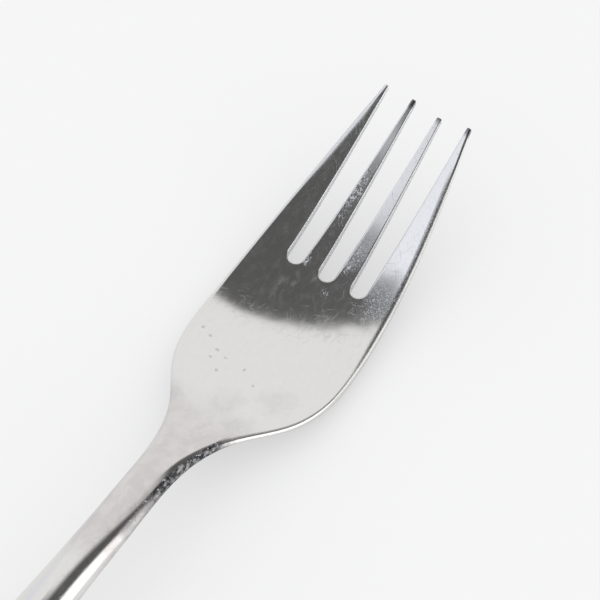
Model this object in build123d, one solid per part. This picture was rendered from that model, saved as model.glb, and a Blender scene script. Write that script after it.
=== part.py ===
from build123d import *
import math
import os

# Four-tined dinner fork with a hollow handle, lying face up on a table.
# Millimetres. +X points to the tine tips, +Y to the left, +Z up.
# The origin is on the table, below the middle of the fork's length.
# Distances along the fork are measured back from the tine tips.

# Overall
LENGTH = 196.0

# Tines and the slots between them, with tip wear listed from left to right
SLOT_LENGTH = 30.0
SLOT_ROOT_WIDTH = 2.85
SLOT_MOUTH_WIDTH = 4.3
INNER_TINE_ROOT_WIDTH = 3.0
INNER_TINE_TIP_WIDTH = 0.8
OUTER_TINE_TIP_WIDTH = 0.75
TIP_BEVEL = 0.25
SLOT_BEVEL = 0.12
TIP_FLARE = 0.195
TIP_THICKNESS = 0.9
TIP_HEIGHT = 14.4
TIP_SLOPE = -0.45
TIP_DISH = 0.4
TIP_WEAR = (0.0, 0.0, 0.7, 0.2)

# Palm, measured where it is widest
PALM_AT = 43.0
PALM_WIDTH = 26.3
PALM_THICKNESS = 1.8
PALM_DISH = 1.5
PALM_BEVEL = 0.3
PALM_BEVEL_DEPTH = 0.45

# Shoulder, where the palm narrows fastest
SHOULDER_RUN = 15.5
SHOULDER_WIDTH = 16.9
SHOULDER_SLOPE = -0.8
SHOULDER_THICKNESS = 2.1
SHOULDER_THICKENING = 0.04

# Neck, measured where it is narrowest
NECK_RUN = 18.5
NECK_WIDTH = 5.9
NECK_THICKNESS = 4.2
NECK_CROWN = 0.7
NECK_HEIGHT = 10.3
NECK_SLOPE = 0.09
NECK_BEVEL = 0.9

# Hollow handle, from its mouth over the crest to its round end
MOUTH_RUN = 9.0
MOUTH_WIDTH = 6.2
MOUTH_FLARE = 0.01
MOUTH_THICKNESS = 4.6
MOUTH_CROWN = 0.7
CREST_RUN = 22.0
CREST_HEIGHT = 12.5
HANDLE_WIDTH = 18.0
HANDLE_THICKNESS = 6.4
HANDLE_CROWN = 1.0
END_ROUND = 9.0
SHELL_WALL = 0.8
SIDE_WALL = 1.6
HANDLE_BEVEL = 1.5
UNDER_BEVEL = 1.0
BEVEL_EASE = 0.5

# Tang and filler inside the handle
TANG_LENGTH = 48.0
TANG_ROOT_WIDTH = 2.4
TANG_ROOT_THICKNESS = 1.8
TANG_END_WIDTH = 1.8
TANG_END_THICKNESS = 1.2
FILLER_SETBACK = 6.0
FILLER_CLEARANCE = 0.1

# How finely the lofted forms follow their curves
PALM_STEPS = 6
SHOULDER_STEPS = 4
NECK_STEPS = 5
MOUTH_STEPS = 6
TANG_STEPS = 4
HANDLE_STEPS = 8

# Places worked out from the sizes above
TIP_X = LENGTH / 2
SHOULDER_AT = PALM_AT + SHOULDER_RUN
NECK_AT = SHOULDER_AT + NECK_RUN
MOUTH_AT = NECK_AT + MOUTH_RUN
CREST_AT = MOUTH_AT + CREST_RUN
HANDLE_LOW_AT = LENGTH - END_ROUND
SLOT_PITCH_AT_ROOT = SLOT_ROOT_WIDTH + INNER_TINE_ROOT_WIDTH
SLOT_PITCH_AT_MOUTH = SLOT_MOUTH_WIDTH + INNER_TINE_TIP_WIDTH
TIP_HALF_SPREAD = SLOT_PITCH_AT_MOUTH + SLOT_MOUTH_WIDTH / 2 + OUTER_TINE_TIP_WIDTH
ABOVE_ALL = TIP_HEIGHT + CREST_HEIGHT
SLAB_SPARE = 1.2

# Curves along the fork, as knots of distance, value and slope
HALF_WIDTH = (
    (0, TIP_HALF_SPREAD, TIP_FLARE),
    (PALM_AT, PALM_WIDTH / 2, 0),
    (SHOULDER_AT, SHOULDER_WIDTH / 2, SHOULDER_SLOPE),
    (NECK_AT, NECK_WIDTH / 2, 0),
    (MOUTH_AT, MOUTH_WIDTH / 2, MOUTH_FLARE),
    (HANDLE_LOW_AT, HANDLE_WIDTH / 2, 0),
)
THICKNESS = (
    (0, TIP_THICKNESS, 2 * (PALM_THICKNESS - TIP_THICKNESS) / PALM_AT),
    (PALM_AT, PALM_THICKNESS, 0),
    (SHOULDER_AT, SHOULDER_THICKNESS, SHOULDER_THICKENING),
    (NECK_AT, NECK_THICKNESS, 0),
    (MOUTH_AT, MOUTH_THICKNESS, 0),
    (HANDLE_LOW_AT, HANDLE_THICKNESS, 0),
)
MIDDLE_HEIGHT = (
    (0, TIP_HEIGHT, TIP_SLOPE),
    (PALM_AT, PALM_THICKNESS / 2, 0),
    (NECK_AT, NECK_HEIGHT, NECK_SLOPE),
    (CREST_AT, CREST_HEIGHT, 0),
    (HANDLE_LOW_AT, HANDLE_THICKNESS / 2, 0),
)
DISH = (
    (0, TIP_DISH, 0),
    (PALM_AT, PALM_DISH, 0),
    (NECK_AT, 0, 0),
)
CROWN = (
    (0, 0, 0),
    (PALM_AT, 0, 0),
    (NECK_AT, NECK_CROWN, 0),
    (MOUTH_AT, MOUTH_CROWN, 0),
    (HANDLE_LOW_AT, HANDLE_CROWN, 0),
)
UNDER_CROWN = (*CROWN[:-1], (HANDLE_LOW_AT, 0, 0))
UPPER_BEVEL = (
    (0, TIP_BEVEL, 0),
    (PALM_AT, PALM_BEVEL, 0),
    (NECK_AT, NECK_BEVEL, 0),
    (MOUTH_AT, HANDLE_BEVEL, 0),
)
UPPER_BEVEL_DEPTH = (
    (0, TIP_BEVEL, 0),
    (PALM_AT, PALM_BEVEL_DEPTH, 0),
    (NECK_AT, NECK_BEVEL, 0),
    (MOUTH_AT, HANDLE_BEVEL, 0),
)
LOWER_BEVEL = (
    (0, TIP_BEVEL, 0),
    (PALM_AT, PALM_BEVEL, 0),
    (NECK_AT, UNDER_BEVEL, 0),
)


def mix(a, b, share):
    return a + (b - a) * share


def curve(knots, distance):
    """Value at a distance on a smooth curve through knots, level past the last."""
    for (d0, v0, m0), (d1, v1, m1) in zip(knots, knots[1:]):
        if distance <= d1:
            break
    span = d1 - d0
    t = min((distance - d0) / span, 1)
    rise = t * t * (3 - 2 * t)
    lead_in = t * (1 - t) ** 2
    lead_out = t * t * (t - 1)
    return mix(v0, v1, rise) + span * (m0 * lead_in + m1 * lead_out)


def stations(start, end, steps):
    """Evenly spaced distances after the start, up to the end."""
    return [mix(start, end, i / steps) for i in range(1, steps + 1)]


def bow(x, start, middle, end):
    """Curve in a cross-section through three (y, z) points."""
    control = [2 * m - (s + e) / 2 for s, m, e in zip(start, middle, end)]
    return [Bezier((x, *start), (x, *control), (x, *end))]


def fold(x, start, middle, end):
    """Four flats in place of a bow, for faces hidden inside the handle."""
    near_start = [mix(m, s, share) for m, s, share in zip(middle, start, (1 / 2, 1 / 4))]
    near_end = [mix(m, e, share) for m, e, share in zip(middle, end, (1 / 2, 1 / 4))]
    points = (start, near_start, middle, near_end, end)
    return Polyline([(x, *point) for point in points]).edges()


def head_section(distance):
    """Cross-section of the head: a dished plate at the palm, a crowned bar at the neck.

    Its faces are bowed and its sides upright. Its edges are bevelled, the upper ones in two flats.
    """
    x = TIP_X - distance
    half_width = curve(HALF_WIDTH, distance)
    half_thickness = curve(THICKNESS, distance) / 2
    top = curve(MIDDLE_HEIGHT, distance) + half_thickness
    bottom = curve(MIDDLE_HEIGHT, distance) - half_thickness
    upper_lift = curve(DISH, distance) - curve(CROWN, distance)
    lower_lift = curve(DISH, distance) + curve(UNDER_CROWN, distance)
    upper_bevel = curve(UPPER_BEVEL, distance)
    lower_bevel = curve(LOWER_BEVEL, distance)

    def upper_point(y):
        return y, top + upper_lift * (y / half_width) ** 2

    def lower_point(y):
        return y, bottom + lower_lift * (y / half_width) ** 2

    bevel_start = upper_point(half_width - upper_bevel)
    bevel_end = (half_width, top + upper_lift - curve(UPPER_BEVEL_DEPTH, distance))
    ease = BEVEL_EASE * upper_bevel
    ease_start = upper_point(half_width - upper_bevel - ease)
    ease_share = ease / math.dist(bevel_start, bevel_end)
    ease_end = tuple(mix(start, end, ease_share) for start, end in zip(bevel_start, bevel_end))
    foot = lower_point(half_width - lower_bevel)
    rim = [ease_start, ease_end, bevel_end, (half_width, bottom + lower_lift + lower_bevel), foot]
    right = Polyline([(x, -y, z) for y, z in rim])
    left = Polyline([(x, y, z) for y, z in reversed(rim)])
    return Wire([
        *bow(x, ease_start, (0, top), (-ease_start[0], ease_start[1])),
        *right.edges(),
        *bow(x, (-foot[0], foot[1]), (0, bottom), foot),
        *left.edges(),
    ])


def slab_section(distance, inset, face):
    """Crowned cross-section of the handle, wider than its outline, with its faces drawn in by an inset."""
    x = TIP_X - distance
    middle = curve(MIDDLE_HEIGHT, distance)
    across = curve(HALF_WIDTH, distance) * SLAB_SPARE
    half_thickness = curve(THICKNESS, distance) / 2 - inset
    high = middle + half_thickness - curve(CROWN, distance) * SLAB_SPARE ** 2
    low = middle - half_thickness + curve(UNDER_CROWN, distance) * SLAB_SPARE ** 2
    return Wire([
        *face(x, (across, high), (0, middle + half_thickness), (-across, high)),
        Line((x, -across, high), (x, -across, low)),
        *face(x, (-across, low), (0, middle - half_thickness), (across, low)),
        Line((x, across, low), (x, across, high)),
    ])


def outline(inset):
    """The handle seen from above, drawn in by an inset, as an upright block."""
    mouth_x = TIP_X - MOUTH_AT
    low_x = TIP_X - HANDLE_LOW_AT
    third = (mouth_x - low_x) / 3
    mouth_y = MOUTH_WIDTH / 2 - inset
    low_y = HANDLE_WIDTH / 2 - inset
    left = Bezier(
        (mouth_x, mouth_y),
        (mouth_x - third, mouth_y + MOUTH_FLARE * third),
        (low_x + third, low_y),
        (low_x, low_y),
    )
    right = mirror(left, Plane.XZ)
    end = EllipticalCenterArc((low_x, 0), END_ROUND - inset, low_y, start_angle=90, arc_size=180)
    mouth = Line((mouth_x, -mouth_y), (mouth_x, mouth_y))
    return extrude(make_face([left, end, right, mouth]), ABOVE_ALL, both=True)


def handle_stations():
    """Distances from a little before the handle's mouth to a little past its end."""
    along = stations(MOUTH_AT, HANDLE_LOW_AT, HANDLE_STEPS)
    return [NECK_AT, MOUTH_AT, *along, LENGTH, LENGTH + END_ROUND]


def handle_form(inset, side_inset, face):
    """Handle drawn in from its faces and its sides: a crowned slab cut to the outline."""
    slab = Solid.make_loft([slab_section(distance, inset, face) for distance in handle_stations()])
    return slab & outline(side_inset)


def slot(column):
    """Tapered slot with a round root; column -1, 0 or 1 from right to left."""
    root_radius = SLOT_ROOT_WIDTH / 2
    root = Pos(TIP_X - SLOT_LENGTH + root_radius, column * SLOT_PITCH_AT_ROOT) * Circle(root_radius)
    middle = column * SLOT_PITCH_AT_MOUTH
    mouth = Line((TIP_X, middle - SLOT_MOUTH_WIDTH / 2), (TIP_X, middle + SLOT_MOUTH_WIDTH / 2))
    return extrude(make_hull(root.edges() + mouth.edges()), ABOVE_ALL, both=True)


def worn_end(index):
    """Block that shortens one tine by its wear; index 0 is the left tine."""
    middle = (1.5 - index) * SLOT_PITCH_AT_MOUTH
    return Pos(TIP_X, middle) * Box(
        TIP_WEAR[index],
        SLOT_PITCH_AT_MOUTH,
        ABOVE_ALL,
        align=(Align.MAX, Align.CENTER, Align.MIN),
    )


def eased_head(head):
    """Bevel the edges of the slots and the upright corners of the tine tips."""
    tips_start = TIP_X - SLOT_LENGTH / 4
    slots_across = SLOT_PITCH_AT_ROOT + SLOT_ROOT_WIDTH
    uprights = head.edges().filter_by(Axis.Z)
    along = (head.edges() - uprights).filter_by_position(Axis.X, TIP_X - PALM_AT, tips_start)
    along = along.filter_by_position(Axis.Y, -slots_across, slots_across)
    at_tips = uprights.filter_by_position(Axis.X, tips_start, TIP_X)
    return chamfer(along + at_tips, SLOT_BEVEL)


def rims(handle, upper):
    """Edges along the handle's upper or lower rim, without its mouth."""
    edges = handle.edges().filter_by_position(Axis.X, -LENGTH, 0) - handle.edges().filter_by(Axis.Z)
    return [edge for edge in edges if upper == is_above_middle(edge.center())]


def is_above_middle(point):
    return point.Z > curve(MIDDLE_HEIGHT, TIP_X - point.X)


def eased_handle(handle):
    """Bevel the handle's rims, the upper one more and in two flats."""
    handle = chamfer(rims(handle, False), UNDER_BEVEL)
    handle = chamfer(rims(handle, True), HANDLE_BEVEL)
    top = max(handle.faces(), key=lambda face: face.center().Z)
    top_edges = top.edges().filter_by_position(Axis.X, -LENGTH, 0)
    return chamfer(top_edges, BEVEL_EASE * HANDLE_BEVEL)


def tang(grown=0):
    """Flat tapered bar from the handle's mouth into its hollow."""
    end = MOUTH_AT + TANG_LENGTH + grown
    sections = []
    for distance in [MOUTH_AT, *stations(MOUTH_AT, end, TANG_STEPS)]:
        share = (distance - MOUTH_AT) / TANG_LENGTH
        width = mix(TANG_ROOT_WIDTH, TANG_END_WIDTH, share) + 2 * grown
        thickness = mix(TANG_ROOT_THICKNESS, TANG_END_THICKNESS, share) + 2 * grown
        middle = (TIP_X - distance, 0, curve(MIDDLE_HEIGHT, distance))
        across = Plane(middle, x_dir=(0, 1, 0), z_dir=(1, 0, 0))
        sections.append((across * Rectangle(width, thickness)).wire())
    return Solid.make_loft(sections)


def fork_head():
    """Dished head with its tines, neck and tang in one piece."""
    along = [
        0,
        *stations(0, PALM_AT, PALM_STEPS),
        *stations(PALM_AT, SHOULDER_AT, SHOULDER_STEPS),
        *stations(SHOULDER_AT, NECK_AT, NECK_STEPS),
        *stations(NECK_AT, MOUTH_AT + MOUTH_RUN, MOUTH_STEPS),
    ]
    head = Solid.make_loft([head_section(distance) for distance in along])
    head = split(head, bisect_by=Plane((TIP_X - MOUTH_AT, 0, 0), z_dir=(1, 0, 0)))
    for column in (-1, 0, 1):
        head -= slot(column)
    for index, wear in enumerate(TIP_WEAR):
        if wear > 0:
            head -= worn_end(index)
    return eased_head(head) + tang()


def above_seam():
    """Block above the level where the two handle shells meet."""
    along = handle_stations()
    seam = Spline([(TIP_X - distance, 0, curve(MIDDLE_HEIGHT, distance)) for distance in along])
    first = seam @ 0
    last = seam @ 1
    roof = Polyline(last, (last.X, 0, ABOVE_ALL), (first.X, 0, ABOVE_ALL), first)
    return extrude(make_face([seam, *roof.edges()]), HANDLE_WIDTH, both=True)


def handle_shells():
    """Upper and lower pressed halves, closed at the round end and open at the mouth."""
    walls = eased_handle(handle_form(0, 0, bow)) - handle_form(SHELL_WALL, SIDE_WALL, fold)
    return walls & above_seam(), walls - above_seam()


def handle_filler():
    """Cement that fills the hollow from behind the mouth and grips the tang."""
    mouth = Pos(TIP_X - MOUTH_AT - FILLER_SETBACK) * Box(
        LENGTH,
        HANDLE_WIDTH,
        ABOVE_ALL,
        align=(Align.MIN, Align.CENTER, Align.MIN),
    )
    block = handle_form(SHELL_WALL + FILLER_CLEARANCE, SIDE_WALL + FILLER_CLEARANCE, fold)
    return block - mouth - tang(FILLER_CLEARANCE)


os.makedirs("parts", exist_ok=True)
upper_shell, lower_shell = handle_shells()
export_step(fork_head(), "parts/fork_head.step")
export_step(upper_shell, "parts/upper_handle_shell.step")
export_step(lower_shell, "parts/lower_handle_shell.step")
export_step(handle_filler(), "parts/handle_filler.step")
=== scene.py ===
import bpy
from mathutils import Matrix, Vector


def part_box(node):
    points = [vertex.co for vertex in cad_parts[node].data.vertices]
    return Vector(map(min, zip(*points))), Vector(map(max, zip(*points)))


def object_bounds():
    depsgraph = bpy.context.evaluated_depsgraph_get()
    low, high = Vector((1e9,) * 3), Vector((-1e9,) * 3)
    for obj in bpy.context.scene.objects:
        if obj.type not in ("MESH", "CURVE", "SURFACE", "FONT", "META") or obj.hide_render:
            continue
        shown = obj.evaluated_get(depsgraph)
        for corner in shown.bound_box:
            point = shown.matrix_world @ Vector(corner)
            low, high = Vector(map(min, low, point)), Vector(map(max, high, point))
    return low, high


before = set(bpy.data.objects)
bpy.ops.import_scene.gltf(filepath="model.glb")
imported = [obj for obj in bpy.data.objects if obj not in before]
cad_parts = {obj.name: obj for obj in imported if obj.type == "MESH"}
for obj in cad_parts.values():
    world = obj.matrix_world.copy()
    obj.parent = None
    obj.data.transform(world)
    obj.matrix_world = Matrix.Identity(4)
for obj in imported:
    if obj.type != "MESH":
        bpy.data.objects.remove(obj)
CAD_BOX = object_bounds()

bl_info = {
    "name": "Dinner fork",
    "version": (1, 0, 0),
    "blender": (4, 5, 0),
    "location": "View3D > Sidebar > Dinner fork",
    "description": "Dresses a hollow-handled dinner fork in worn, polished steel",
    "category": "Object",
}

MM = 0.001
SOFT = {"interpolation_type": "SMOOTHSTEP"}

# Sockets of a Mix node for two numbers, two vectors or two colours, with the outputs of the last two
NUMBER_A, NUMBER_B = 2, 3
VECTOR_A, VECTOR_B, VECTOR_OUT = 4, 5, 1
COLOUR_A, COLOUR_B, COLOUR_OUT = 6, 7, 2

# Places on the fork in millimetres: x runs from the handle's end to the tips, y to the left
TIP_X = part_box("fork_head")[1].x / MM
MOUTH_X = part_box("upper_handle_shell")[1].x / MM
MOUTH_HALF_WIDTH = 3.1
HANDLE_HALF_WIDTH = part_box("upper_handle_shell")[1].y / MM
HANDLE_LOW_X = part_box("upper_handle_shell")[0].x / MM + HANDLE_HALF_WIDTH

# Half width of the head: a cubic of the run from the tips, 0, to the far end of the palm, 1,
# given by its shares of the run cubed, squared and plain, and the half width at the tips
PALM_RUN = 43.0
HEAD_CURVE = (-1.915, -1.32, 8.385)
TIP_HALF_WIDTH = 8.0

# Upper edge of the neck's right side: its half width, which flares ahead of a place,
# and how soft it is
FLARE_X = 21.0
FLARE_HALF_WIDTH = 2.15
FLARE_RATE = 0.011
NECK_SIDE_EDGE = (0.15, -0.15)

# Soft edges in millimetres, where a stretch begins and where it is full: LOW and HIGH lie
# along the fork, ACROSS lies across it, INWARD and OUTWARD are measured in from the outer rim
RIGHT_RIM_LOW = (46, 60)
RIGHT_RIM_HIGH = (93, 87)
RIGHT_RIM_ACROSS = (-6, -7)
LEFT_RIM_LOW = (72, 86)
LEFT_RIM_HIGH = (TIP_X - 1.5, TIP_X - 6)
LEFT_RIM_ACROSS = (6, 7)
RIM_INWARD = (2.0, 1.0)
BAND_LOW = (67, 73)
BAND_INWARD = (1.1, 0.85)
BAND_OUTWARD = (0.4, 0.55)
GROUND_ACROSS = (-5, -7)
SLOT_LOW = (66, 67)
SLOT_INWARD = (0.9, 1.2)
BLUNT_LOW = (TIP_X - 1.8, TIP_X - 0.8)
BLUNT_ACROSS = (6.5, 5.5)
FILM_HIGH = (42, 33)
FILM_LOW = (5, 11)
NECK_SIDE_HIGH = (37, 32)
NECK_SIDE_LOW = (12.5, 14)
NECK_DARK_LOW = (17, 22)
NECK_ROUND_HIGH = (42, 26)
HANDLE_ROUND_HIGH = (28, 22)
HANDLE_ROUND_LOW = (HANDLE_LOW_X + 4, HANDLE_LOW_X + 14)
HANDLE_ROUND_WIDENS = (22, 0)

# Soft edges in the upward share of a surface's direction
FACING_UP = (0.2, 0.5)
UPRIGHT = (0.6, 0.4)

# Round of the handle's top: its width in millimetres at both ends, the lean at its side and its crown
HANDLE_ROUND_WIDTHS = (1.0, MOUTH_HALF_WIDTH + 0.5)
SIDE_LEAN = 0.85
CROWN = 1.5

# A rounded edge takes up at most this share of the way to the joint at the handle's mouth
JOINT_ROOM = 0.9

# Worn places as centre and reach along and across the fork, in millimetres
SCUFFED = (
    ((69.7, 3.9), (1.4, 1.0)),
    ((71.6, -2.1), (1.9, 1.0)),
    ((66.2, -1.3), (1.3, 1.1)),
    ((81.6, 3.35), (6.6, 1.7)),
)
DULLED = (
    ((74.6, -2.6), (5.4, 2.2)),
    ((69.4, -9.8), (6.0, 3.4)),
)
CLOUDED = (
    ((64.6, 4.6), (3.6, 2.4)),
    ((67.0, 1.2), (2.6, 1.4)),
    ((60.5, -4.0), (2.4, 5.0)),
)
SMEARED = (
    ((41.0, -0.5), (4.5, 3.4)),
    ((46.0, -6.0), (4.5, 3.6)),
    ((38.0, -4.5), (3.6, 2.6)),
    ((38.2, 7.0), (3.4, 2.4)),
)
PIT_REACH = (0.34, 0.34)
PITTED = tuple((centre, PIT_REACH) for centre in (
    (51.0, 10.7), (50.4, 9.1), (47.2, 6.8), (48.9, 6.7),
    (48.4, 4.9), (45.6, 4.6), (48.4, 1.3), (46.6, -1.5)))

# Soft edge of a worn place, as shares of its reach
SPOT_EDGE = (1, 0.25)

# How worn places stray from their plain outline: over what size and by how much, in millimetres
CHIPS_STRAY = (0.6, 0.7)
PITS_STRAY = (0.5, 0.9)
SMEARS_STRAY = (2.5, 5)

# Blotches: size in millimetres along each axis, detail, noise where they begin and are full,
# and their strength before and after that where it isn't nothing and all
CHIPS = ((0.46, 0.3, 0.4), 3, (0.52, 0.6))
CLUMPS = ((1.8, 1.3, 1.6), 1, (0.38, 0.58), (0.25, 1))
SPECKS = ((0.26, 0.26, 0.26), 2, (0.52, 0.62))
WISPS = ((1.6, 0.9, 1.2), 4, (0.45, 0.7))
PATCHES = ((3.5, 2.2, 3.5), 3, (0.35, 0.65), (0.5, 1))
MOTTLE = ((0.9, 0.6, 0.6), 3, (0.42, 0.66), (1, 0.5))
GRIT = ((0.5, 0.35, 0.4), 2, (0.62, 0.68))

# Plain noise: size in millimetres along each axis and detail, with its height in millimetres
WAVES = ((9, 6, 9), 1)
WAVE_HEIGHT = 0.02
SAND = ((0.5, 0.5, 0.5), 2)
SAND_HEIGHT = 0.1

# Hair scratches: turn in radians, length in millimetres and rarity, with their width in millimetres.
# Real ones are finer; these are as coarse as they need to be to show.
SCRATCHES = ((0.35, 3, 0.76), (1.2, 2.2, 0.77), (-0.6, 2.6, 0.77), (2.3, 1.8, 0.77))
SCRATCH_WIDTH = 0.12
SCRATCH_FADE = 0.05

# How far each kind of wear shows, as a share of all, with the darker tine ends and the painted pale slot
# walls
FILM_SHARE = 0.22
PIT_SHARE = 0.3
SMEAR_SHARE = 0.1
GROUND_SHARES = (0.2, 0.45)
BAND_GROUND_SHARE = 0.4
BAND_SPECK_SHARE = 1.4
SPECK_SHARE = 0.42
HAZE_SHARE = 0.045
CLOUD_SHARE = 0.1
PAINTED_SLOT_WALL_SHARE = 0.7
BLUNT_SHARE = 0.7
NECK_DARK_SHARES = (0.25, 1)

# Relief of the wear: how far it shows, as a share of all, and its height in millimetres
RELIEF_SHARE = 0.08
RELIEF_HEIGHT = 0.02

# How much rougher each kind of wear makes the steel
SCRATCH_BLUR = 0.08
DULL_BLUR = 0.08
FILM_BLUR = 0.06
FLECK_BLUR = 0.4
NECK_BLUR = 0.2

# Soft lights by the direction they come from, with X ahead, Y to the left and Z up:
# where each begins and where it is full. The two large ones lean, so X is mixed with a share of Y.
AHEAD_LEAN = 0.45
AHEAD_LEAST_LEFT = 0.05
AHEAD_EDGE = (0.35, 0.41)
AHEAD_RIGHT = (-0.6, 0.0)
BEHIND_LEAN = -0.85
BEHIND_EDGE = (-0.39, -0.47)
BEHIND_LEFT = (0.1, 0.55)
BEHIND_LEAST_SHARE = 0.7
BEHIND_FAR_LEFT = (0.58, 0.72)
BEHIND_FAR_SHARE = 0.78
LOW_EDGE = (0.4, 0.2)
RIGHT_EDGE = (-0.76, -0.86)

# Floor and nearest view in metres, camera sensor in millimetres
FLOOR_SIZE = 4.0
SENSOR_WIDTH = 36
CLIP_START = 0.01


class ForkFinish(bpy.types.PropertyGroup):
    """Finish of the fork's steel and cement."""

    steel: bpy.props.StringProperty(
        name="Steel", description="Colour of clean polished steel", default="#E0DFDD")
    # The scuff colour is also the painted pale light on the slot walls
    scuff_and_painted_wall_light: bpy.props.StringProperty(
        name="Scuff", description="Colour of raised, matt flecks of scuffed steel", default="#E4E8EC")
    tarnish: bpy.props.StringProperty(
        name="Tarnish", description="Colour of pits and of the unpolished side of the neck",
        default="#33353A")
    film: bpy.props.StringProperty(
        name="Film", description="Colour of the film left by handling", default="#7A5A5E")
    cement: bpy.props.StringProperty(
        name="Cement", description="Colour of the cement inside the handle", default="#B9B2A4")
    edge_round: bpy.props.FloatProperty(
        name="Edge round", description="How far polishing has rounded the edges of the slots",
        default=0.25 * MM, unit="LENGTH", precision=5)
    rim_round: bpy.props.FloatProperty(
        name="Rim round", description="How far polishing has rounded the outer rims of the head",
        default=1.0 * MM, unit="LENGTH", precision=5)
    neck_round: bpy.props.FloatProperty(
        name="Neck round", description="How far polishing has rounded the edges of the neck",
        default=0.45 * MM, unit="LENGTH", precision=5)
    roughness: bpy.props.FloatProperty(
        name="Roughness", description="Roughness of clean polished steel",
        default=0.11, subtype="FACTOR", min=0, max=1)


class ForkStage(bpy.types.PropertyGroup):
    """Floor, light and camera."""

    floor: bpy.props.StringProperty(
        name="Floor", description="Colour of the floor", default="#FAFAFA")
    floor_fill: bpy.props.FloatProperty(
        name="Floor fill",
        description="How far the floor is seen as bright as its colour, less a soft shadow",
        default=0.9, subtype="FACTOR", min=0, max=1)
    shadow_reach: bpy.props.FloatProperty(
        name="Shadow reach", description="How far away the fork still takes light from the floor",
        default=40 * MM, unit="LENGTH")
    shadow_share: bpy.props.FloatProperty(
        name="Shadow share", description="How dark that soft shadow is",
        default=0.4, subtype="FACTOR", min=0, max=1)
    sky: bpy.props.StringProperty(
        name="Sky", description="Colour of the soft light all round", default="#FFFFFF")
    back_sky: bpy.props.StringProperty(
        name="Back light", description="Colour of the soft light behind", default="#F3F6FF")
    sky_strength: bpy.props.FloatProperty(
        name="Sky strength", description="Strength of the soft light", default=0.975)
    gap_share: bpy.props.FloatProperty(
        name="Gap share", description="How bright the gap between the soft lights is beside them",
        default=0.12, subtype="FACTOR", min=0, max=1)
    back_share: bpy.props.FloatProperty(
        name="Back light share", description="How bright the light behind is beside the one ahead",
        default=1.28)
    side_share: bpy.props.FloatProperty(
        name="Side light share", description="How bright the light on the right is beside the one ahead",
        default=1.65)
    lens: bpy.props.FloatProperty(
        name="Lens", description="Focal length for a 36 mm wide sensor, in millimetres", default=108.0)
    camera_place: bpy.props.FloatVectorProperty(
        name="Camera place", description="Where the camera stands",
        default=(-59.57 * MM, -80.25 * MM, 238.77 * MM), subtype="TRANSLATION")
    camera_aim: bpy.props.FloatVectorProperty(
        name="Camera aim", description="Direction in which the camera looks",
        default=(0.44174, 0.29271, -0.84805), subtype="DIRECTION")


def linear(colour):
    """An sRGB hex colour, such as "#C8C6C2", as linear red, green, blue and alpha."""
    shares = [int(colour[i:i + 2], 16) / 255 for i in (1, 3, 5)]
    return (*[s / 12.92 if s <= 0.04045 else ((s + 0.055) / 1.055) ** 2.4 for s in shares], 1)


def add(tree, kind, inputs=None, **settings):
    """Add a node: settings are its own options, inputs hold a value, a node or an output each."""
    made = tree.nodes.new(kind)
    for option, value in settings.items():
        setattr(made, option, value)
    for socket, value in (inputs or {}).items():
        if isinstance(value, bpy.types.Node):
            value = value.outputs[0]
        if isinstance(value, bpy.types.NodeSocket):
            tree.links.new(value, made.inputs[socket])
        else:
            made.inputs[socket].default_value = value
    return made


def within(tree, *edges):
    """One where every value is past its soft edge, nothing where any is short of it."""
    whole = None
    for value, (start, full) in edges:
        past = add(tree, "ShaderNodeMapRange", {"Value": value, "From Min": start, "From Max": full}, **SOFT)
        whole = add(tree, "ShaderNodeMath", {0: whole, 1: past}, operation="MULTIPLY") if whole else past
    return whole


def worn_places(tree, place, spots):
    """One inside any of the soft spots, nothing outside."""
    whole = None
    for centre, reach in spots:
        away = add(tree, "ShaderNodeMapping", {
            "Vector": place,
            "Location": (-centre[0] / reach[0], -centre[1] / reach[1], 0),
            "Scale": (1 / reach[0], 1 / reach[1], 0)})
        distance = add(tree, "ShaderNodeVectorMath", {0: away}, operation="LENGTH")
        spot = add(tree, "ShaderNodeMapRange", {
            "Value": distance.outputs["Value"],
            "From Min": SPOT_EDGE[0], "From Max": SPOT_EDGE[1]}, **SOFT)
        whole = add(tree, "ShaderNodeMath", {0: whole, 1: spot}, operation="MAXIMUM") if whole else spot
    return whole


def grain(tree, place, size, detail):
    """Even noise about one half, of a size in millimetres along each axis."""
    spread = add(tree, "ShaderNodeVectorMath", {0: place, 1: [1 / s for s in size]}, operation="MULTIPLY")
    return add(tree, "ShaderNodeTexNoise", {"Vector": spread, "Scale": 1, "Detail": detail})


def blotches(tree, place, size, detail, edge, strengths=(0, 1)):
    """Soft blotches of a size in millimetres along each axis, where noise rises past an edge."""
    return add(tree, "ShaderNodeMapRange", {
        "Value": grain(tree, place, size, detail),
        "From Min": edge[0], "From Max": edge[1],
        "To Min": strengths[0], "To Max": strengths[1]}, **SOFT)


def uneven(tree, place, size, amount):
    """The same place pushed about at random, by up to half an amount, over a size; both in millimetres."""
    noise = add(tree, "ShaderNodeTexNoise", {"Vector": place, "Scale": 1 / size, "Detail": 2})
    push = add(tree, "ShaderNodeVectorMath", {
        0: noise.outputs["Color"], 1: (0.5, 0.5, 0.5)}, operation="SUBTRACT")
    return add(tree, "ShaderNodeVectorMath", {
        0: push, 1: (amount, amount, amount), 2: place}, operation="MULTIPLY_ADD")


def hair_scratches(tree, place):
    """Hair scratches, straight and fine, that run several ways."""
    whole = None
    for turn, length, rarity in SCRATCHES:
        turned = add(tree, "ShaderNodeMapping", {"Vector": place, "Rotation": (0, 0, turn)})
        size = (length, SCRATCH_WIDTH, length)
        hairs = blotches(tree, turned, size, 0, (rarity, rarity + SCRATCH_FADE))
        whole = add(tree, "ShaderNodeMath", {0: whole, 1: hairs}, operation="MAXIMUM") if whole else hairs
    return whole


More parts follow.
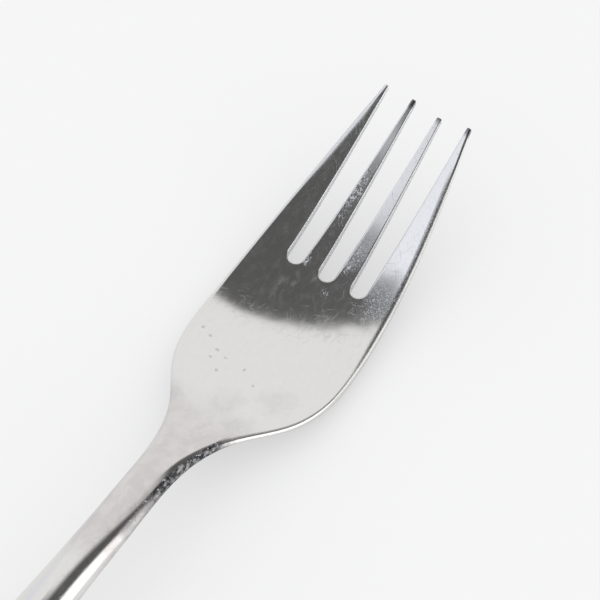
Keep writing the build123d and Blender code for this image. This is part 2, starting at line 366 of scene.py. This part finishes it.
def rim_distance(tree, x, y):
    """How far a place on the tines or the palm is inside their outer rim, in millimetres."""
    run = add(tree, "ShaderNodeMapRange", {"Value": x, "From Min": TIP_X, "From Max": TIP_X - PALM_RUN})
    cubed, squared, plain = HEAD_CURVE
    half_width = run
    for factor, offset in ((cubed, squared), (run, plain), (run, TIP_HALF_WIDTH)):
        half_width = add(tree, "ShaderNodeMath", {
            0: half_width, 1: factor, 2: offset}, operation="MULTIPLY_ADD")
    across = add(tree, "ShaderNodeMath", {0: y}, operation="ABSOLUTE")
    return add(tree, "ShaderNodeMath", {0: half_width, 1: across}, operation="SUBTRACT")


def handle_round(tree, x, y, facing):
    """Surface direction of the handle's top as one round, which widens behind the joint."""
    half_width = add(tree, "ShaderNodeMapRange", {
        "Value": x, "From Min": MOUTH_X, "From Max": HANDLE_LOW_X,
        "To Min": MOUTH_HALF_WIDTH, "To Max": HANDLE_HALF_WIDTH}, **SOFT)
    across = add(tree, "ShaderNodeMath", {0: y}, operation="ABSOLUTE")
    inward = add(tree, "ShaderNodeMath", {0: half_width, 1: across}, operation="SUBTRACT")
    width = add(tree, "ShaderNodeMapRange", {
        "Value": x, "From Min": HANDLE_ROUND_WIDENS[0], "From Max": HANDLE_ROUND_WIDENS[1],
        "To Min": HANDLE_ROUND_WIDTHS[0], "To Max": HANDLE_ROUND_WIDTHS[1]}, **SOFT)
    turned = add(tree, "ShaderNodeMapRange", {"Value": inward, "From Min": width, "From Max": 0})
    out = add(tree, "ShaderNodeMath", {0: across, 1: half_width}, operation="DIVIDE")
    bend = add(tree, "ShaderNodeMath", {0: out, 1: half_width}, operation="DIVIDE")
    crown = add(tree, "ShaderNodeMath", {0: bend, 1: CROWN}, operation="MULTIPLY")
    lean = add(tree, "ShaderNodeMix", {"Factor": turned, NUMBER_A: crown, NUMBER_B: SIDE_LEAN})
    squared = add(tree, "ShaderNodeMath", {0: lean, 1: lean}, operation="MULTIPLY")
    rest = add(tree, "ShaderNodeMath", {0: 1.0, 1: squared}, operation="SUBTRACT")
    up = add(tree, "ShaderNodeMath", {0: rest}, operation="SQRT")
    side = add(tree, "ShaderNodeMath", {0: y}, operation="SIGN")
    sideways = add(tree, "ShaderNodeMath", {0: lean, 1: side}, operation="MULTIPLY")
    return add(tree, "ShaderNodeCombineXYZ", {"X": facing.outputs["X"], "Y": sideways, "Z": up})


def polished_round(tree, place, x, y, rim, facing, finish):
    """Surface direction with the edges rounded by polishing."""
    # Small rounds on the head, larger on its rims and the neck, none across the joint at the mouth
    rounding = add(tree, "ShaderNodeMapRange", {
        "Value": x, "From Min": NECK_ROUND_HIGH[0], "From Max": NECK_ROUND_HIGH[1],
        "To Min": finish.edge_round, "To Max": finish.neck_round})
    wider = add(tree, "ShaderNodeMath", {
        0: rim, 1: finish.rim_round - finish.edge_round, 2: rounding}, operation="MULTIPLY_ADD")
    past_mouth = add(tree, "ShaderNodeMath", {0: x, 1: MOUTH_X}, operation="SUBTRACT")
    from_mouth = add(tree, "ShaderNodeMath", {0: past_mouth}, operation="ABSOLUTE")
    room = add(tree, "ShaderNodeMath", {0: from_mouth, 1: JOINT_ROOM * MM}, operation="MULTIPLY")
    radius = add(tree, "ShaderNodeMath", {0: wider, 1: room}, operation="MINIMUM")
    edges = add(tree, "ShaderNodeBevel", {"Radius": radius}, samples=8)

    # The top of the handle is one round, which begins ahead of the joint
    on_handle = within(
        tree, (x, HANDLE_ROUND_HIGH), (x, HANDLE_ROUND_LOW), (facing.outputs["Z"], FACING_UP))
    mixed = add(tree, "ShaderNodeMix", {
        "Factor": on_handle, VECTOR_A: edges, VECTOR_B: handle_round(tree, x, y, facing)},
        data_type="VECTOR")
    whole = add(tree, "ShaderNodeVectorMath", {0: mixed.outputs[VECTOR_OUT]}, operation="NORMALIZE")

    # Waves left by the buffing wheel, 6 to 9 mm long
    waves = grain(tree, place, *WAVES)
    return add(tree, "ShaderNodeBump", {
        "Height": waves, "Strength": 1, "Distance": WAVE_HEIGHT * MM, "Normal": whole})


def neck_side(tree, x, y):
    """One on the right side of the neck, below its upper edge, from the shoulder to the handle's mouth."""
    ahead = add(tree, "ShaderNodeMath", {0: x, 1: FLARE_X}, operation="SUBTRACT")
    widening = add(tree, "ShaderNodeMath", {0: ahead, 1: 0}, operation="MAXIMUM")
    squared = add(tree, "ShaderNodeMath", {0: widening, 1: 2}, operation="POWER")
    flare = add(tree, "ShaderNodeMath", {
        0: squared, 1: FLARE_RATE, 2: FLARE_HALF_WIDTH}, operation="MULTIPLY_ADD")
    inside = add(tree, "ShaderNodeMath", {0: y, 1: flare}, operation="ADD")
    return within(tree, (inside, NECK_SIDE_EDGE), (x, NECK_SIDE_HIGH), (x, NECK_SIDE_LOW))


def polished_steel(finish):
    """Stainless steel, pressed and buffed, then worn by use.

    Buffing leaves a slightly wavy mirror; use adds hair scratches, scuffs, pits and a thin film.
    The right side of the neck is left rough: dark, with bright grit.
    """
    material = bpy.data.materials.new("polished_stainless_steel")
    material.use_nodes = True
    tree = material.node_tree
    shader = tree.nodes["Principled BSDF"]
    spot = add(tree, "ShaderNodeTexCoord")
    place = add(tree, "ShaderNodeVectorMath", {
        0: spot.outputs["Object"], "Scale": 1 / MM}, operation="SCALE")
    part = add(tree, "ShaderNodeSeparateXYZ", {0: place})
    x = part.outputs["X"]
    y = part.outputs["Y"]
    facing = add(tree, "ShaderNodeSeparateXYZ", {0: add(tree, "ShaderNodeNewGeometry").outputs["Normal"]})

    # The right rim, and the left one beside its tine, are polished rounder than other edges
    inside_rim = rim_distance(tree, x, y)
    on_right = within(tree, (x, RIGHT_RIM_LOW), (x, RIGHT_RIM_HIGH), (y, RIGHT_RIM_ACROSS))
    on_left = within(tree, (x, LEFT_RIM_LOW), (x, LEFT_RIM_HIGH), (y, LEFT_RIM_ACROSS))
    rounded = add(tree, "ShaderNodeMath", {0: on_right, 1: on_left}, operation="MAXIMUM")
    near_rim = add(tree, "ShaderNodeMapRange", {
        "Value": inside_rim, "From Min": RIM_INWARD[0], "From Max": RIM_INWARD[1]}, **SOFT)
    rim = add(tree, "ShaderNodeMath", {0: near_rim, 1: rounded}, operation="MULTIPLY")
    buffed = polished_round(tree, place, x, y, rim, facing, finish)
    scratched = hair_scratches(tree, place)

    # Scuffs: matt flecks a third of a millimetre across, in clumps at the slots and on the tines
    rough_place = uneven(tree, place, *CHIPS_STRAY)
    chips = blotches(tree, rough_place, *CHIPS)
    clumps = blotches(tree, place, *CLUMPS)
    scuffs = add(tree, "ShaderNodeMath", {
        0: clumps, 1: worn_places(tree, rough_place, SCUFFED)}, operation="MULTIPLY")
    scuffed = add(tree, "ShaderNodeMath", {0: chips, 1: scuffs}, operation="MULTIPLY")

    # Dulled places: finer and closer flecks over a darker ground, also in a band along the right rim
    specks = blotches(tree, place, *SPECKS)
    dull = worn_places(tree, rough_place, DULLED)
    along_rim = within(tree, (x, BAND_LOW), (inside_rim, BAND_INWARD), (inside_rim, BAND_OUTWARD))
    band = add(tree, "ShaderNodeMath", {0: on_right, 1: along_rim}, operation="MULTIPLY")
    flecked = add(tree, "ShaderNodeMath", {0: band, 1: BAND_SPECK_SHARE, 2: dull}, operation="MULTIPLY_ADD")
    dulled = add(tree, "ShaderNodeMath", {0: specks, 1: flecked}, operation="MULTIPLY")
    darker = add(tree, "ShaderNodeMapRange", {
        "Value": y, "From Min": GROUND_ACROSS[0], "From Max": GROUND_ACROSS[1],
        "To Min": GROUND_SHARES[0], "To Max": GROUND_SHARES[1]}, **SOFT)
    ground = add(tree, "ShaderNodeMath", {0: dull, 1: darker}, operation="MULTIPLY")
    ground = add(tree, "ShaderNodeMath", {
        0: band, 1: BAND_GROUND_SHARE, 2: ground}, operation="MULTIPLY_ADD")

    # Clouds: a thin matt haze in wisps about a millimetre wide, thicker at the roots of the tines
    wisps = blotches(tree, rough_place, *WISPS)
    thickness = add(tree, "ShaderNodeMath", {
        0: worn_places(tree, place, CLOUDED), 1: CLOUD_SHARE, 2: HAZE_SHARE}, operation="MULTIPLY_ADD")
    haze = add(tree, "ShaderNodeMath", {0: wisps, 1: thickness}, operation="MULTIPLY")

    # Pits: dark points about half a millimetre across
    pitted = worn_places(tree, uneven(tree, place, *PITS_STRAY), PITTED)

    # Film of handling on the neck, and greyer smears on the palm, all a few millimetres across
    wandering = uneven(tree, place, *SMEARS_STRAY)
    patches = blotches(tree, wandering, *PATCHES)
    smeared = add(tree, "ShaderNodeMath", {
        0: patches, 1: worn_places(tree, wandering, SMEARED)}, operation="MULTIPLY")
    on_neck = within(tree, (x, FILM_HIGH), (x, FILM_LOW))
    filmed = add(tree, "ShaderNodeMath", {0: on_neck, 1: patches}, operation="MULTIPLY")

    # The right side of the neck: dark towards the shoulder, pale towards the handle, with bright grit
    rough_side = neck_side(tree, x, y)
    towards_shoulder = add(tree, "ShaderNodeMapRange", {
        "Value": x, "From Min": NECK_DARK_LOW[0], "From Max": NECK_DARK_LOW[1],
        "To Min": NECK_DARK_SHARES[0], "To Max": NECK_DARK_SHARES[1]}, **SOFT)
    dark_side = add(tree, "ShaderNodeMath", {
        0: blotches(tree, place, *MOTTLE), 1: towards_shoulder}, operation="MULTIPLY")
    dark_side = add(tree, "ShaderNodeMath", {0: dark_side, 1: rough_side}, operation="MULTIPLY")
    gritty = add(tree, "ShaderNodeMath", {
        0: blotches(tree, place, *GRIT), 1: rough_side}, operation="MULTIPLY")

    # Walls of the slots: painted pale and matt, standing in for the bright floor they mirror
    upward = add(tree, "ShaderNodeMath", {0: facing.outputs["Z"]}, operation="ABSOLUTE")
    painted_pale_slot_walls = within(tree, (upward, UPRIGHT), (inside_rim, SLOT_INWARD), (x, SLOT_LOW))

    # Tips: the ends of all tines but the left one are darker
    tips = within(tree, (x, BLUNT_LOW), (y, BLUNT_ACROSS))

    # Colour: film over the steel, then what darkens it, then the pale flecks and the painted pale slot walls
    film = add(tree, "ShaderNodeMath", {0: filmed, 1: FILM_SHARE}, operation="MULTIPLY")
    filmy = add(tree, "ShaderNodeMix", {
        "Factor": film, COLOUR_A: linear(finish.steel), COLOUR_B: linear(finish.film)}, data_type="RGBA")
    darkened = add(tree, "ShaderNodeMath", {0: dark_side, 1: ground}, operation="MAXIMUM")
    for wear, share in ((pitted, PIT_SHARE), (smeared, SMEAR_SHARE), (tips, BLUNT_SHARE)):
        seen = add(tree, "ShaderNodeMath", {0: wear, 1: share}, operation="MULTIPLY")
        darkened = add(tree, "ShaderNodeMath", {0: darkened, 1: seen}, operation="MAXIMUM")
    steel = add(tree, "ShaderNodeMix", {
        "Factor": darkened, COLOUR_A: filmy.outputs[COLOUR_OUT], COLOUR_B: linear(finish.tarnish)},
        data_type="RGBA")
    flecks_and_painted_walls = scuffed
    for wear in (gritty, haze):
        flecks_and_painted_walls = add(tree, "ShaderNodeMath", {0: flecks_and_painted_walls, 1: wear}, operation="MAXIMUM")
    for wear, share in ((dulled, SPECK_SHARE), (painted_pale_slot_walls, PAINTED_SLOT_WALL_SHARE)):
        seen = add(tree, "ShaderNodeMath", {0: wear, 1: share}, operation="MULTIPLY")
        flecks_and_painted_walls = add(tree, "ShaderNodeMath", {0: flecks_and_painted_walls, 1: seen}, operation="MAXIMUM")
    colour = add(tree, "ShaderNodeMix", {
        "Factor": flecks_and_painted_walls, COLOUR_A: steel.outputs[COLOUR_OUT], COLOUR_B: linear(finish.scuff_and_painted_wall_light)},
        data_type="RGBA")
    tree.links.new(colour.outputs[COLOUR_OUT], shader.inputs["Base Color"])

    # Flecks are too rough to mirror, so they scatter light like a matt surface; the painted pale slot walls
    # are made matt with them
    metal = add(tree, "ShaderNodeMath", {0: 1.0, 1: flecks_and_painted_walls}, operation="SUBTRACT")
    tree.links.new(metal.outputs[0], shader.inputs["Metallic"])

    # Roughness: every kind of wear blurs the mirror
    blur = finish.roughness
    for wear, more in (
            (scratched, SCRATCH_BLUR), (dull, DULL_BLUR), (filmed, FILM_BLUR),
            (flecks_and_painted_walls, FLECK_BLUR), (rough_side, NECK_BLUR)):
        blur = add(tree, "ShaderNodeMath", {0: wear, 1: more, 2: blur}, operation="MULTIPLY_ADD")
    tree.links.new(blur.outputs[0], shader.inputs["Roughness"])

    # Relief: scratches and pits cut in, flecks and the painted pale slot walls stand out
    relief = flecks_and_painted_walls
    for wear in (scratched, pitted):
        relief = add(tree, "ShaderNodeMath", {0: relief, 1: wear}, operation="SUBTRACT")
    surface = add(tree, "ShaderNodeBump", {
        "Height": relief, "Strength": RELIEF_SHARE, "Distance": RELIEF_HEIGHT * MM, "Normal": buffed})
    tree.links.new(surface.outputs["Normal"], shader.inputs["Normal"])
    return material


def filler_cement(finish):
    """Grey cement, poured and set: matt, with a sandy grain half a millimetre across."""
    material = bpy.data.materials.new("set_handle_cement")
    material.use_nodes = True
    tree = material.node_tree
    shader = tree.nodes["Principled BSDF"]
    shader.inputs["Roughness"].default_value = 0.9
    spot = add(tree, "ShaderNodeTexCoord")
    place = add(tree, "ShaderNodeVectorMath", {
        0: spot.outputs["Object"], "Scale": 1 / MM}, operation="SCALE")
    sand = grain(tree, place, *SAND)
    colour = add(tree, "ShaderNodeMix", {
        "Factor": sand, COLOUR_A: linear(finish.cement), COLOUR_B: linear(finish.tarnish)}, data_type="RGBA")
    tree.links.new(colour.outputs[COLOUR_OUT], shader.inputs["Base Color"])
    surface = add(tree, "ShaderNodeBump", {
        "Height": sand, "Strength": 0.5, "Distance": SAND_HEIGHT * MM})
    tree.links.new(surface.outputs["Normal"], shader.inputs["Normal"])
    return material


def floor_paper(stage):
    """Uncoated white paper, rolled smooth: matt and even.

    Seen by the camera or in the steel, it glows as bright as its colour, less a painted soft shadow that
    ambient occlusion darkens near the fork.
    """
    material = bpy.data.materials.new("matt_white_paper")
    material.use_nodes = True
    tree = material.node_tree
    shader = tree.nodes["Principled BSDF"]
    shader.inputs["Base Color"].default_value = linear(stage.floor)
    shader.inputs["Roughness"].default_value = 0.9
    shader.inputs["Specular IOR Level"].default_value = 0.1
    ray = add(tree, "ShaderNodeLightPath")
    seen = ray.outputs["Is Camera Ray"]
    for kind in ("Is Glossy Ray", "Is Transmission Ray"):
        seen = add(tree, "ShaderNodeMath", {0: seen, 1: ray.outputs[kind]}, operation="MAXIMUM")
    fill = add(tree, "ShaderNodeMath", {0: seen, 1: stage.floor_fill}, operation="MULTIPLY")
    # Painted shadow: ambient occlusion darkens the floor's glow near the fork
    shadow = add(tree, "ShaderNodeAmbientOcclusion", {
        "Color": linear(stage.floor), "Distance": stage.shadow_reach}, samples=16)
    floor_with_painted_shadow = add(tree, "ShaderNodeMix", {
        "Factor": stage.shadow_share, COLOUR_A: linear(stage.floor), COLOUR_B: shadow}, data_type="RGBA")
    glow = add(tree, "ShaderNodeEmission", {"Color": floor_with_painted_shadow.outputs[COLOUR_OUT], "Strength": 1})
    paper = add(tree, "ShaderNodeMixShader", {0: fill, 1: shader, 2: glow})
    tree.links.new(paper.outputs[0], tree.nodes["Material Output"].inputs["Surface"])
    return material


def studio_light(stage):
    """Two large soft lights that lean over the fork, ahead and behind, with a dark wedge between them.

    The wedge opens to the right, where a third light stands. Near the floor it is light all round.
    """
    world = bpy.data.worlds.new("studio")
    world.use_nodes = True
    tree = world.node_tree
    background = tree.nodes["Background"]
    direction = add(tree, "ShaderNodeSeparateXYZ", {
        0: add(tree, "ShaderNodeTexCoord").outputs["Generated"]})
    x = direction.outputs["X"]
    y = direction.outputs["Y"]

    leftward = add(tree, "ShaderNodeMath", {0: y, 1: AHEAD_LEAST_LEFT}, operation="MAXIMUM")
    forward = add(tree, "ShaderNodeMath", {0: leftward, 1: AHEAD_LEAN, 2: x}, operation="MULTIPLY_ADD")
    ahead = within(tree, (forward, AHEAD_EDGE), (y, AHEAD_RIGHT))

    backward = add(tree, "ShaderNodeMath", {0: y, 1: BEHIND_LEAN, 2: x}, operation="MULTIPLY_ADD")
    back = add(tree, "ShaderNodeMapRange", {
        "Value": backward, "From Min": BEHIND_EDGE[0], "From Max": BEHIND_EDGE[1]}, **SOFT)
    behind = back
    for edge, before, after in (
            (BEHIND_LEFT, BEHIND_LEAST_SHARE * stage.back_share, stage.back_share),
            (BEHIND_FAR_LEFT, 1, BEHIND_FAR_SHARE)):
        share = add(tree, "ShaderNodeMapRange", {
            "Value": y, "From Min": edge[0], "From Max": edge[1], "To Min": before, "To Max": after}, **SOFT)
        behind = add(tree, "ShaderNodeMath", {0: behind, 1: share}, operation="MULTIPLY")

    low = add(tree, "ShaderNodeMapRange", {
        "Value": direction.outputs["Z"], "From Min": LOW_EDGE[0], "From Max": LOW_EDGE[1]}, **SOFT)
    right = add(tree, "ShaderNodeMapRange", {
        "Value": y, "From Min": RIGHT_EDGE[0], "From Max": RIGHT_EDGE[1],
        "To Min": 0, "To Max": stage.side_share}, **SOFT)

    level = ahead
    for light in (behind, low, right, stage.gap_share):
        level = add(tree, "ShaderNodeMath", {0: level, 1: light}, operation="MAXIMUM")
    strength = add(tree, "ShaderNodeMath", {0: level, 1: stage.sky_strength}, operation="MULTIPLY")
    tint = add(tree, "ShaderNodeMix", {
        "Factor": back, COLOUR_A: linear(stage.sky), COLOUR_B: linear(stage.back_sky)}, data_type="RGBA")
    tree.links.new(tint.outputs[COLOUR_OUT], background.inputs["Color"])
    tree.links.new(strength.outputs[0], background.inputs["Strength"])
    return world


class FORK_OT_steel(bpy.types.Operator):
    """Dress the head and the handle shells in polished steel"""

    bl_idname = "fork.steel"
    bl_label = "Polished steel"

    def execute(self, context):
        steel = polished_steel(context.scene.fork_finish)
        for node in ("fork_head", "upper_handle_shell", "lower_handle_shell"):
            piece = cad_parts[node]
            piece.data.materials.clear()
            piece.data.materials.append(steel)
        return {"FINISHED"}


class FORK_OT_filler(bpy.types.Operator):
    """Give the handle's cement its own material"""

    bl_idname = "fork.filler"
    bl_label = "Handle cement"

    def execute(self, context):
        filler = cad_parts["handle_filler"]
        filler.data.materials.clear()
        filler.data.materials.append(filler_cement(context.scene.fork_finish))
        return {"FINISHED"}


class FORK_OT_stage(bpy.types.Operator):
    """Set the floor, the soft light and the camera"""

    bl_idname = "fork.stage"
    bl_label = "Floor, light and camera"

    def execute(self, context):
        scene = context.scene
        stage = scene.fork_stage
        scene.view_settings.view_transform = "Standard"
        scene.world = studio_light(stage)

        bpy.ops.object.select_all(action="DESELECT")
        bpy.ops.mesh.primitive_plane_add(size=FLOOR_SIZE, location=(0, 0, CAD_BOX[0].z))
        floor = context.active_object
        floor.name = "floor"
        floor.data.materials.append(floor_paper(stage))

        camera = bpy.data.objects.new("camera", bpy.data.cameras.new("camera"))
        scene.collection.objects.link(camera)
        camera.data.lens = stage.lens
        camera.data.sensor_width = SENSOR_WIDTH
        camera.data.clip_start = CLIP_START
        camera.location = stage.camera_place
        camera.rotation_euler = Vector(stage.camera_aim).to_track_quat("-Z", "Y").to_euler()
        scene.camera = camera
        return {"FINISHED"}


class FORK_PT_sidebar(bpy.types.Panel):
    """Fork pieces and stage"""

    bl_idname = "FORK_PT_sidebar"
    bl_label = "Dinner fork"
    bl_space_type = "VIEW_3D"
    bl_region_type = "UI"
    bl_category = "Dinner fork"

    def draw(self, context):
        for group in (context.scene.fork_finish, context.scene.fork_stage):
            for name in group.__annotations__:
                self.layout.prop(group, name)
        for operator in OPERATORS:
            self.layout.operator(operator.bl_idname)


OPERATORS = (FORK_OT_steel, FORK_OT_filler, FORK_OT_stage)
CLASSES = (ForkFinish, ForkStage, *OPERATORS, FORK_PT_sidebar)


def register():
    for cls in CLASSES:
        bpy.utils.register_class(cls)
    bpy.types.Scene.fork_finish = bpy.props.PointerProperty(type=ForkFinish)
    bpy.types.Scene.fork_stage = bpy.props.PointerProperty(type=ForkStage)


def unregister():
    del bpy.types.Scene.fork_stage
    del bpy.types.Scene.fork_finish
    for cls in reversed(CLASSES):
        bpy.utils.unregister_class(cls)


def main():
    register()
    bpy.ops.fork.steel()
    bpy.ops.fork.filler()
    bpy.ops.fork.stage()


if __name__ == "__main__":
    main()
